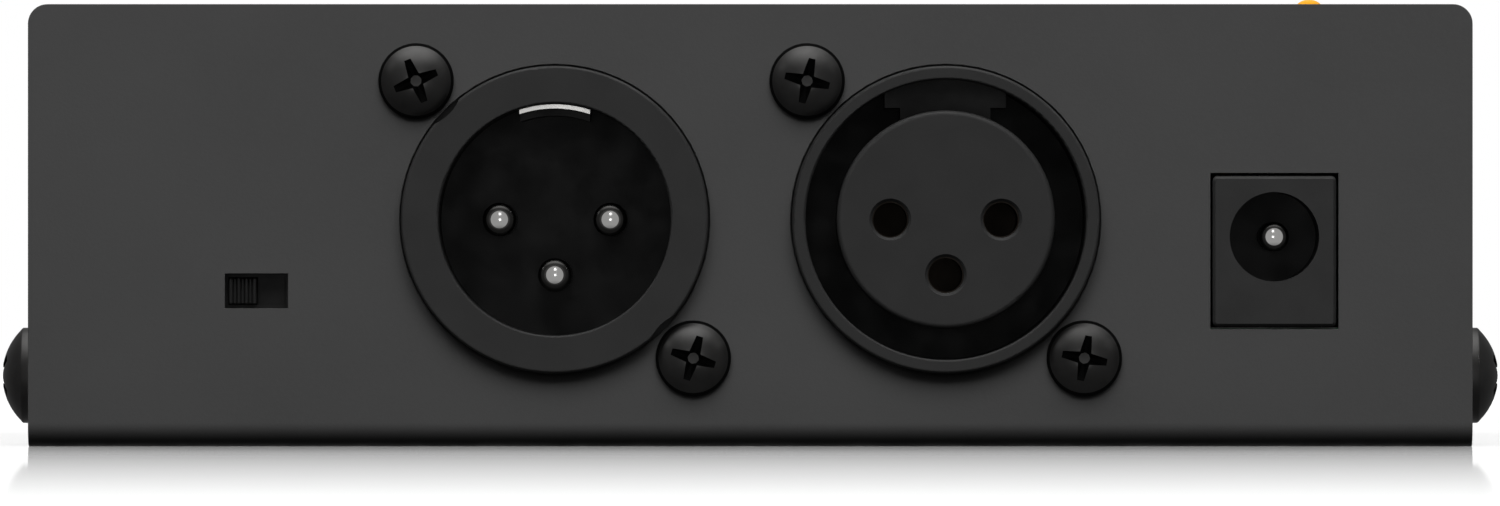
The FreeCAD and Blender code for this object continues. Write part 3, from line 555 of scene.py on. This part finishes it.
def recess_punch(name, height, reach, slot, depth):
    """The driver's punch: four wedge arms, widest at the middle, whose floors slope steeply
    down to a small flat end."""
    levels = [(0.3, 1.0), (-0.45 * depth, 0.95), (-depth, None)]
    shape = bmesh.new()
    rings = []
    for drop, scale in levels:
        ring = []
        for arm in range(4):
            for across, out in ((-slot / 2, reach), (slot / 2, reach), (0.42, 0.42)):
                spot = Vector((out, across)) * (scale or 1.0)
                if scale is None:
                    spot = spot.normalized() * 0.4
                spot.rotate(Matrix.Rotation(math.radians(90 * arm), 2))
                ring.append(shape.verts.new((spot.x * mm, spot.y * mm, (height + drop) * mm)))
        rings.append(ring)
    for low, high in zip(rings, rings[1:]):
        for i in range(12):
            shape.faces.new((low[i], low[(i + 1) % 12], high[(i + 1) % 12], high[i]))
    shape.faces.new(rings[0])
    shape.faces.new(rings[-1])
    bmesh.ops.recalc_face_normals(shape, faces=shape.faces)
    mesh = bpy.data.meshes.new(name)
    shape.to_mesh(mesh)
    shape.free()
    # The punch's walls, which become the recess walls, are marked for painted shade.
    return blank(mark_painted_shade(mesh, lambda face: face.center.z > (height - depth + 0.05) * mm))


def screw_part(tree, given):
    punch = add_node(tree, "GeometryNodeObjectInfo", Object=given["Punch"])
    head = less(tree, from_blank(tree, given), punch.outputs["Geometry"])
    rod = threaded_rod(tree, given["Shank Radius"], given["Thread Depth"], given["Pitch"],
                       given["Shank Length"], given["Lead"])
    low = math_node(tree, "SUBTRACT", 0.0001, given["Shank Length"])
    return joined(tree, head, moved(tree, rod, z=low))


def screws(node, material, places, head, recess, shank):
    """head is (radius, rim, height, flat crown), recess (reach, slot width, depth) and shank
    (radius, length)."""
    values = {"Blank": domed_head(node + "_blank", *head),
              "Punch": recess_punch(node + "_punch", head[2], *recess),
              "Shank Radius": shank[0] * mm, "Shank Length": shank[1] * mm,
              "Thread Depth": 0.26 * mm, "Pitch": 0.5 * mm, "Lead": 0.5 * mm,
              "Material": material}
    mesh = set_out(node + "_tree", places, screw_part, values)
    add_piece(node + "_headed", mesh, ENCLOSURE, [node])


BACK_WAY, UP = (0, -1, 0), (0, 0, 1)
low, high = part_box("base_tray")
REAR, FRONT = low.y / mm, high.y / mm
PORT_Z, MALE_X, FEMALE_X, SCREW_OFF = 16.21, -13.97, 13.96, 9.9
PIN_PITCH, DC_X, DC_Z = 3.96, 37.44, 14.98
SIDE, COVER_SCREW_Y, COVER_SCREW_Z = 51.6, 42.0, 4.98
BOARD_TOP = 8.5
POSTS = [(x, y) for x in (-42.0, 42.0) for y in (-30.0, 30.0)]
port_places = []
for centre, upper_turn, lower_turn in ((MALE_X, 22.0, -17.0), (FEMALE_X, -13.0, -10.5)):
    port_places.append(((centre - SCREW_OFF, REAR, PORT_Z + SCREW_OFF), BACK_WAY, upper_turn))
    port_places.append(((centre + SCREW_OFF, REAR, PORT_Z - SCREW_OFF), BACK_WAY, lower_turn))
screws("connector_screws", black_zinc, port_places, (2.7, 0.25, 1.6, 0.72),
       (1.7, 0.5, 1.1), (1.45, 8.5))
side_places = [((side * SIDE, y, COVER_SCREW_Z), (side, 0, 0), 45.0)
               for side in (-1, 1) for y in (-COVER_SCREW_Y, COVER_SCREW_Y)]
screws("cover_screws", black_zinc, side_places, (3.46, 0.9, 2.45, 0.8),
       (1.9, 0.7, 1.5), (1.5, 4.9))
board_places = [((x, y, BOARD_TOP), UP, 25.0) for x, y in POSTS]
screws("board_screws", zinc_plate, board_places, (2.8, 0.5, 1.9, 0.7),
       (1.6, 0.5, 1.1), (1.5, 5.1))

# %% [markdown]
# The three-pin connectors, the DC jack and the switch frame are mouldings whose shape is already
# complete in the CAD. They keep it and get their plastics and platings. The pins get slightly domed
# crowns on their flat ends. The switch knob is remade: its four ribs have soft tops that catch the
# light, so its edges are rounded in three steps.

# %% Connectors, DC jack, switch and light
dress(ring_nylon, "male_housing", "female_housing", "female_insert")
dress(jack_plastic, "dc_jack_housing", "input_jack_housing", "link_jack_housing", "led_spacer")
dress(silver_plate, "male_ground_contact")
# The pins' near-black nickel is painted shade.
dress(shaded_pin_nickel, "male_contacts", "dc_jack_pin")
# The female contacts' near-black bronze is painted shade.
dress(shaded_contact_bronze, "female_contacts")
dress(nickel, "dc_jack_spring", "input_jack_spring", "link_jack_spring")
dress(switch_plastic, "switch_frame", "switch_base")

crown = turned("crown_blank", [(0.0, -0.3), (0.62, -0.3), (0.62, 0.0)]
               + arc((0.0, -3.82), 3.87, 81.3, 88.5, 4) + [(0.0, 0.05)], 40)
crown_places = [((MALE_X + dx, REAR + 0.5, PORT_Z + dz), BACK_WAY, 0.0)
                for dx, dz in ((-PIN_PITCH, 0), (PIN_PITCH, 0), (0, -PIN_PITCH))]
crown_places.append(((DC_X, REAR + 0.7, DC_Z), BACK_WAY, 0.0))
add_piece("pin_crowns", set_out("pin_crowns_tree", crown_places, from_blank,
                                {"Blank": blank(crown), "Material": crown_silver}), ENCLOSURE, ())
dress(amber_epoxy, "led_lens")
add_piece("switch_knob_ribbed", eased_copy("switch_knob", 0.125 * mm, 3), SLIDER, ["switch_knob"],
          switch_plastic)

# %% [markdown]
# The front jacks have turned brass bushings, nickel plated, with a 32-to-the-inch thread. The collar
# is a turned ring; the thread is the same rolled grid as on the screws, with the plug's bore cut
# through it.

# %% Threaded bushings of the front jacks
JACK_Z, JACKS, OUT = 17.0, {"input_jack": -14.0, "link_jack": 14.0}, (0, 1, 0)


def bushing_part(tree, given):
    rod = threaded_rod(tree, given["Radius"], given["Thread Depth"], given["Pitch"],
                       given["Length"], given["Lead"], 48)
    bore = add_node(tree, "GeometryNodeMeshCylinder", Vertices=48, Radius=given["Bore"],
                    Depth=math_node(tree, "MULTIPLY", given["Length"], 3.0))
    return joined(tree, from_blank(tree, given), less(
        tree, moved(tree, rod, z=given["Start"]), bore.outputs["Mesh"]))


for name, x in JACKS.items():
    collar = turned(name + "_collar", [(3.22, 0.1), (3.32, 0.0), (5.9, 0.0), (6.0, 0.1), (6.0, 2.0),
                                       (3.22, 2.0)], 64)
    sizes = {"Blank": blank(collar), "Radius": 4.75 * mm, "Thread Depth": 0.42 * mm,
             "Pitch": 0.79375 * mm, "Start": 1.95 * mm, "Length": 5.25 * mm, "Bore": 3.22 * mm,
             "Lead": 0.4 * mm, "Material": nickel}
    add_piece(name + "_bushing_threaded", set_out(
        name + "_bushing_tree", [((x, 56.5, JACK_Z), OUT, 0.0)], bushing_part, sizes), ENCLOSURE,
        [name + "_bushing"])

# %% [markdown]
# A hexagon nut is bar stock faced off on a lathe, and the chamfer on its corners is what is left of
# the turning. So the tree does just that: a six-sided prism is intersected with a turned blank. The
# hexagonal posts under the circuit board are made by the same tree.

# %% Nuts, washers and posts
def hexagon_part(tree, given):
    bar = add_node(tree, "GeometryNodeMeshCylinder", Vertices=6, Radius=given["Corner Radius"],
                   Depth=given["Height"])
    raised = moved(tree, bar.outputs["Mesh"], z=given["Middle"])
    faced = add_node(tree, "GeometryNodeMeshBoolean",
                     {"operation": "INTERSECT", "solver": "EXACT"})
    tree.links.new(raised, faced.inputs["Mesh 2"])
    tree.links.new(from_blank(tree, given), faced.inputs["Mesh 2"])
    return faced.outputs["Mesh"]


nut = turned("nut_blank", [(4.77, 0.2), (4.97, 0.0), (6.9, 0.0), (7.4, 0.35), (7.4, 1.3),
                           (6.3, 2.4), (4.97, 2.4), (4.77, 2.2)], 72)
sizes = {"Blank": blank(nut), "Corner Radius": 7.332 * mm, "Height": 3.4 * mm,
         "Middle": 1.2 * mm, "Material": nickel}
nut_places = [((x, FRONT + 0.6, JACK_Z), OUT, 30.0) for x in JACKS.values()]
add_piece("jack_nuts_faced", set_out("jack_nuts_tree", nut_places, hexagon_part, sizes), ENCLOSURE,
          ["jack_nuts"])

ring = turned("washer_blank", [(4.8, 0.08), (4.88, 0.0), (7.28, 0.0), (7.4, 0.12), (7.4, 0.45),
                               (7.25, 0.6), (4.9, 0.6), (4.8, 0.5)], 72)
washer_places = [((x, FRONT, JACK_Z), OUT, 0.0) for x in JACKS.values()]
add_piece("jack_washers_turned", set_out(
    "jack_washers_tree", washer_places, from_blank, {"Blank": blank(ring), "Material": nickel}),
    ENCLOSURE, ["jack_washers"])

post = turned("post_blank", [(1.52, 1.2), (1.9, 0.05), (2.08, 0.3), (2.08, 1.0), (2.5, 1.0),
                             (2.75, 1.15), (2.75, 6.75), (2.5, 6.9), (1.7, 6.9), (1.52, 6.7)])
sizes = {"Blank": blank(post), "Corner Radius": 2.75 * mm, "Height": 14.0 * mm,
         "Middle": 4.0 * mm, "Material": brass_post}
post_places = [((x, y, 0.0), UP, 0.0) for x, y in POSTS]
add_piece("board_posts", set_out("board_posts_tree", post_places, hexagon_part, sizes), ENCLOSURE,
          ["board_standoffs"])

# %% [markdown]
# The signal transformer is what makes this box work. Its core is a stack of thin steel plates, each
# with two windows, so the tree makes one plate and sets out eighteen of them. The winding's outer
# layer is a rounded loop of wire, set out once per turn.

# %% Transformer
TX, TY = -22.0, -12.0
LEVEL_OFFSETS = (0.0, 0.02, -0.015, 0.01, -0.02, 0.015)


def plate_part(tree, given):
    plate = box_part(tree, given["Width"], given["Thickness"], given["Height"])
    through = 4.0 * mm
    window = box_part(tree, given["Window Width"], through, given["Window Height"])
    aside = math_node(tree, "MULTIPLY", given["Window Place"], -1.0)
    return less(tree, plate, moved(tree, window, x=given["Window Place"]),
                moved(tree, window, x=aside))


plates = [((TX, TY - 4.25 + 0.5 * i, 17.6 + LEVEL_OFFSETS[i % 6]), UP, 0.0) for i in range(18)]
sizes = {"Width": 24 * mm, "Thickness": 0.46 * mm, "Height": 15.96 * mm, "Window Width": 4.5 * mm,
         "Window Height": 10.0 * mm, "Window Place": 6.25 * mm, "Material": core_varnish}
add_piece("transformer_plates", set_out("transformer_plates_tree", plates, plate_part, sizes),
          ENCLOSURE, ["transformer_core"])


def wire_loop_part(tree, given):
    loop = add_node(tree, "GeometryNodeCurvePrimitiveQuadrilateral", Width=given["Width"],
                    Height=given["Depth"])
    fillet = add_node(tree, "GeometryNodeFilletCurve", {"mode": "POLY"},
                      Curve=loop.outputs["Curve"], Radius=given["Corner"], Count=6)
    round_wire = add_node(tree, "GeometryNodeCurvePrimitiveCircle", Resolution=8,
                          Radius=given["Wire Radius"])
    swept = add_node(tree, "GeometryNodeCurveToMesh", Curve=fillet.outputs["Curve"],
                     Profile_Curve=round_wire.outputs["Curve"])
    return swept.outputs["Mesh"]


turns = [((TX, TY, 13.7 + 0.3 * i), UP, 0.0) for i in range(27)]
sizes = {"Width": 16.1 * mm, "Depth": 18.1 * mm, "Corner": 2.55 * mm, "Wire Radius": 0.145 * mm,
         "Material": enamelled_wire}
add_piece("transformer_outer_turns", set_out("transformer_turns_tree", turns, wire_loop_part,
                                             sizes), ENCLOSURE, ())
dress(enamelled_wire, "transformer_winding")
dress(natural_nylon, "transformer_bobbin")

# %% [markdown]
# The other components are turned or moulded too: aluminium cans with a crimped waist and a scored
# top, dog-bone resistors with colour bands, glass-smooth diodes, film boxes, and the two chips with
# their drafted sides and the notch that marks their first pin.

# %% Small components
def scored_part(tree, given):
    """The can with two shallow crossed scores in its top, where it would vent."""
    bars = [box_part(tree, given["Score Reach"], given["Score Width"], given["Score Depth"]),
            box_part(tree, given["Score Width"], given["Score Reach"], given["Score Depth"])]
    return less(tree, from_blank(tree, given), *[moved(tree, bar, z=given["Top"]) for bar in bars])


def moulded_box(name, low, high, inset, ease):
    """A box whose four sides lean in by inset above the lower edge; every edge is eased."""
    shape = bmesh.new()
    bmesh.ops.create_cube(shape, size=1.0)
    for v in shape.verts:
        lean = inset if v.co.z > 0 else 0.0
        for axis in range(3):
            end = high[axis] if v.co[axis] > 0 else low[axis]
            if axis < 2:
                end -= math.copysign(lean, v.co[axis])
            v.co[axis] = end * mm
    bmesh.ops.bevel(shape, geom=shape.edges[:], offset=ease * mm, segments=3, affect="EDGES",
                    profile=0.5, clamp_overlap=True)
    mesh = bpy.data.meshes.new(name)
    shape.to_mesh(mesh)
    shape.free()
    return mesh


can = turned("can_blank", [(0.0, 0.0), (3.5, 0.0), (3.85, 0.2), (3.95, 0.6), (3.95, 1.6),
                           (3.62, 1.95), (3.62, 2.25), (3.97, 2.7), (4.0, 11.0), (3.86, 11.32),
                           (3.5, 11.48), (3.1, 11.5), (3.0, 11.4), (0.0, 11.4)])
sizes = {"Blank": blank(can), "Score Reach": 4.4 * mm, "Score Width": 0.25 * mm,
         "Score Depth": 0.3 * mm, "Top": 11.4 * mm, "Material": can_sleeve}
can_places = [((x, y, BOARD_TOP), UP, 15.0 * i) for i, (x, y) in enumerate(
    ((34.0, -22.0), (34.0, -9.5), (34.0, 3.0), (21.5, -12.0)))]
add_piece("electrolytic_cans", set_out("electrolytic_cans_tree", can_places, scored_part, sizes),
          ENCLOSURE, ["electrolytic_capacitors"])

film = moulded_box("film_blank", (-3.6, -1.8, 0.0), (3.6, 1.8, 7.5), 0.12, 0.3)
film_places = [((x, 8.0, BOARD_TOP), UP, 0.0) for x in (-12.0, -2.0, 8.0, 18.0)]
add_piece("film_boxes", set_out("film_boxes_tree", film_places, from_blank,
                                {"Blank": blank(film), "Material": film_box_red}), ENCLOSURE,
          ["film_capacitors"])

half = [(0.0, 3.15), (0.55, 3.12), (0.95, 2.92), (1.15, 2.45), (1.15, 1.95), (0.99, 1.5)]
bone = turned("resistor_blank", [(r, -z) for r, z in half] + [(r, z) for r, z in half[::-1]], 24)
resistor_places = [((-35.2 + 6.4 * i, 20.0, 9.7), OUT, 0.0) for i in range(12)]
add_piece("banded_resistors", set_out("resistors_tree", resistor_places, from_blank,
                                      {"Blank": blank(bone), "Material": resistor_lacquer}),
          ENCLOSURE, ["resistor_bodies"])

half = [(0.0, 2.5), (0.9, 2.48), (1.2, 2.36), (1.3, 2.1)]
pill = turned("diode_blank", [(r, -z) for r, z in half] + [(r, z) for r, z in half[::-1]], 24)
diode_places = [((-40.0 + 5.0 * i, 5.0, 9.85), OUT, 180.0 * (i % 2)) for i in range(4)]
add_piece("banded_diodes", set_out("diodes_tree", diode_places, from_blank,
                                   {"Blank": blank(pill), "Material": diode_epoxy}), ENCLOSURE,
          ["diode_bodies"])


def chip_part(tree, given):
    notch = add_node(tree, "GeometryNodeMeshCylinder", Vertices=24, Radius=given["Notch"],
                     Depth=given["Notch Depth"])
    return less(tree, from_blank(tree, given), moved(
        tree, notch.outputs["Mesh"], x=given["Notch Place"], z=given["Top"]))


chip = moulded_box("chip_blank", (-4.8, -3.2, 0.0), (4.8, 3.2, 3.3), 0.35, 0.12)
sizes = {"Blank": blank(chip), "Notch": 0.8 * mm, "Notch Depth": 1.0 * mm,
         "Notch Place": -4.5 * mm, "Top": 3.3 * mm, "Material": chip_epoxy}
chip_places = [((4.0, -18.0, 9.1), UP, 0.0), ((4.0, -5.0, 9.1), UP, 0.0)]
add_piece("moulded_chips", set_out("chips_tree", chip_places, chip_part, sizes), ENCLOSURE,
          ["opamp_bodies"])

# %% [markdown]
# Every lead that passes through the board ends in a small cone of solder under it. The leads' own
# meshes say where they end: the lowest points of each lead are averaged, and a cone is set there.

# %% Leads and their solder
TINNED = ("switch_terminals", "led_leads", "transformer_pins", "opamp_pins", "regulator_leads",
          "electrolytic_leads", "film_capacitor_leads", "resistor_leads", "diode_leads")
LEADS = TINNED + ("male_contacts", "female_contacts", "male_ground_contact")
dress(tin_plate, "switch_wiper", *TINNED)
dress(chip_epoxy, "regulator_body")
dress(solder_mask, "circuit_board")

clusters = []
for node in LEADS:
    ends = [v.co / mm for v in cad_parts[node].data.vertices if v.co.z / mm < 5.65]
    for end in ends:
        for cluster in clusters:
            if (cluster[0].xy - end.xy).length < 1.2:
                cluster.append(end)
                break
        else:
            clusters.append([end])
solder_places = []
for number, cluster in enumerate(clusters):
    middle = sum(cluster, Vector()) / len(cluster)
    solder_places.append(((middle.x, middle.y, 6.93), (0, 0, -1), 31.0 * number))
cone = turned("solder_blank", [(0.0, 0.0), (0.98, 0.0), (0.94, 0.08), (0.66, 0.3), (0.5, 0.62),
                               (0.42, 1.0), (0.25, 1.22), (0.0, 1.28)], 20)
add_piece("solder_joints", set_out("solder_tree", solder_places, from_blank,
                                   {"Blank": blank(cone), "Material": solder}), ENCLOSURE, ())
print(len(solder_places), "solder joints")

# %% [markdown]
# The box stands on a large pale acrylic floor. It is polished close to the box, so it mirrors the
# foot of the panel, and the mirror fades within about a third of a metre. The surround is the world
# itself, and it looks different to each kind of ray. The camera sees plain white. Matt surfaces are
# lit by its upper half, like a white ceiling. Glossy ones mirror a dark room with a soft panel in
# front and a bright wall beyond. The floor is hidden from light that bounces off the box, as if black
# flags lay round it, which is why the box's lower bend falls dark.

# %% Floor and surround
SKY_LEVEL, FRONT_GLOW, CEILING, AROUND = 1.6, 0.49, 2.4, 0.16
FLOOR_POLISH, POLISH_REACH, FLOOR_PALE = 0.76, 0.35, 0.46
mesh = bpy.data.meshes.new("studio_floor")
reach = 0.9
mesh.from_pydata([(-reach, -reach, 0), (reach, -reach, 0), (reach, reach, 0), (-reach, reach, 0)],
                 [], [(0, 1, 2, 3)])
floor = bpy.data.objects.new("studio_floor", mesh)
bpy.context.scene.collection.objects.link(floor)
floor_paint = bpy.data.materials.new("pale_acrylic_floor")
floor_paint.use_nodes = True
tree = floor_paint.node_tree
tree.nodes.clear()
place = add_node(tree, "ShaderNodeTexCoord").outputs["Object"]
parts = add_node(tree, "ShaderNodeSeparateXYZ", Vector=place).outputs
gaps = []
for axis, half in (("X", SIDE * mm), ("Y", 59.5 * mm)):
    beside = math_node(tree, "SUBTRACT", math_node(tree, "ABSOLUTE", parts[axis]), half)
    gaps.append(math_node(tree, "POWER", math_node(tree, "MAXIMUM", beside, 0.0), 2.0))
distance = math_node(tree, "SQRT", math_node(tree, "ADD", *gaps))
polish = between(tree, distance, FLOOR_POLISH, 0.0, 0.0, POLISH_REACH)
sheen = math_node(tree, "MULTIPLY", polish, add_node(tree, "ShaderNodeFresnel", IOR=1.5).outputs[0])
grain = between(tree, noise(tree, place, 30.0), 0.995, 1.0)
pale = math_node(tree, "MULTIPLY", grain, FLOOR_PALE)
paint = add_node(tree, "ShaderNodeCombineColor", Red=pale, Green=pale, Blue=pale)
matt = add_node(tree, "ShaderNodeBsdfDiffuse", Color=paint.outputs["Color"])
gloss = add_node(tree, "ShaderNodeBsdfGlossy", Color=(1, 1, 1, 1), Roughness=0.03)
both = add_node(tree, "ShaderNodeMixShader", i0=sheen, i1=matt.outputs["BSDF"],
                i2=gloss.outputs["BSDF"])
add_node(tree, "ShaderNodeOutputMaterial", Surface=both.outputs["Shader"])
mesh.materials.append(floor_paint)
floor.visible_diffuse = floor.visible_glossy = False
print("the floor reaches", reach, "m each way and mirrors for", POLISH_REACH, "m")

world = bpy.data.worlds.new("studio")
bpy.context.scene.world = world
world.use_nodes = True
tree = world.node_tree
tree.nodes.clear()
way = add_node(tree, "ShaderNodeTexCoord").outputs["Generated"]
parts = add_node(tree, "ShaderNodeSeparateXYZ", Vector=way).outputs
backwards = math_node(tree, "MULTIPLY", parts["Y"], -1.0)
aside = math_node(tree, "ABSOLUTE", parts["X"])
sky = math_node(tree, "MULTIPLY", between(tree, parts["Z"], 0.0, 1.0, 0.22, 0.95), SKY_LEVEL)
panel = math_node(tree, "MULTIPLY", between(tree, backwards, 0.0, FRONT_GLOW, 0.72, 0.95),
                  between(tree, parts["Z"], 0.0, 1.0, -0.45, -0.2))
ceiling = between(tree, parts["Z"], 0.0, CEILING, 0.6, 1.0)
beyond = math_node(tree, "MULTIPLY", between(tree, parts["Y"], 0.0, 1.05, 0.3, 0.7),
                   between(tree, aside, 1.0, 0.0, 0.05, 0.1))
around = between(tree, parts["Z"], 0.1, AROUND, -0.7, 0.0)
mirrored = math_node(tree, "MAXIMUM", math_node(tree, "ADD", panel, ceiling),
                     math_node(tree, "MAXIMUM", beyond, around))
path = add_node(tree, "ShaderNodeLightPath").outputs
grey = add_node(tree, "ShaderNodeMix", {"data_type": "FLOAT"}, i0=path["Is Glossy Ray"], i2=sky,
                i3=mirrored).outputs[0]
tone = add_node(tree, "ShaderNodeCombineColor", Red=grey, Green=grey, Blue=grey)
shown = blend_colours(tree, path["Is Camera Ray"], tone.outputs["Color"], (1.0, 1.0, 1.0))
backdrop = add_node(tree, "ShaderNodeBackground", Color=shown, Strength=1.0)
add_node(tree, "ShaderNodeOutputWorld", Surface=backdrop.outputs["Background"])

# %% [markdown]
# The lamps are plain area lights. Two large ones hang above the box, one in front of it and one
# behind, so that flat faces stay even; glossy surfaces don't mirror them. Two tiny ones far in front
# put sparkles on the pins' crowns, and two at the sides graze the pins' shoulders.

# %% Lamps
def lamp(name, place, width, depth, power):
    light = bpy.data.lights.new(name, "AREA")
    light.shape, light.size, light.size_y, light.energy = "RECTANGLE", width, depth, power
    holder = bpy.data.objects.new(name, light)
    holder.location = place
    holder.rotation_euler = (Vector((0, 0, 0.01)) - Vector(place)).to_track_quat(
        "-Z", "Y").to_euler()
    bpy.context.scene.collection.objects.link(holder)
    return holder


lamp("overhead", (0.0, -0.75, 0.95), 1.2, 0.7, 16.4).visible_glossy = False
lamp("behind", (0.0, 0.9, 0.9), 1.2, 0.7, 16.0).visible_glossy = False
lamp("sparkle_middle", (0.0, -1.75, 0.014), 0.11, 0.11, 0.15)
lamp("sparkle_upper", (0.0, -1.68, 0.36), 0.11, 0.11, 0.15)
lamp("sparkle_left", (-1.5, -0.5, 0.9), 0.12, 0.12, 0.5)
lamp("sparkle_right", (1.5, -0.5, 0.9), 0.12, 0.12, 0.5)

# %% [markdown]
# The camera looks straight at the connector panel from about a metre and a half, through a long
# lens, so the panel fills the frame and hardly any perspective shows.

# %% Camera
eye = bpy.data.cameras.new("panel_camera")
eye.lens, eye.sensor_width = 500.0, 36.0
eye.clip_start, eye.clip_end = 0.05, 50.0
camera = bpy.data.objects.new("panel_camera", eye)
view_width, eye_x, eye_height = 107.14 * mm, -0.02 * mm, 13.82 * mm
camera.location = (eye_x, REAR * mm - view_width * eye.lens / eye.sensor_width, eye_height)
camera.rotation_euler = (math.radians(90), 0, 0)
bpy.context.scene.collection.objects.link(camera)
bpy.context.scene.camera = camera
bpy.context.scene.view_settings.view_transform = "Standard"
print("camera at", [round(c, 4) for c in camera.location])
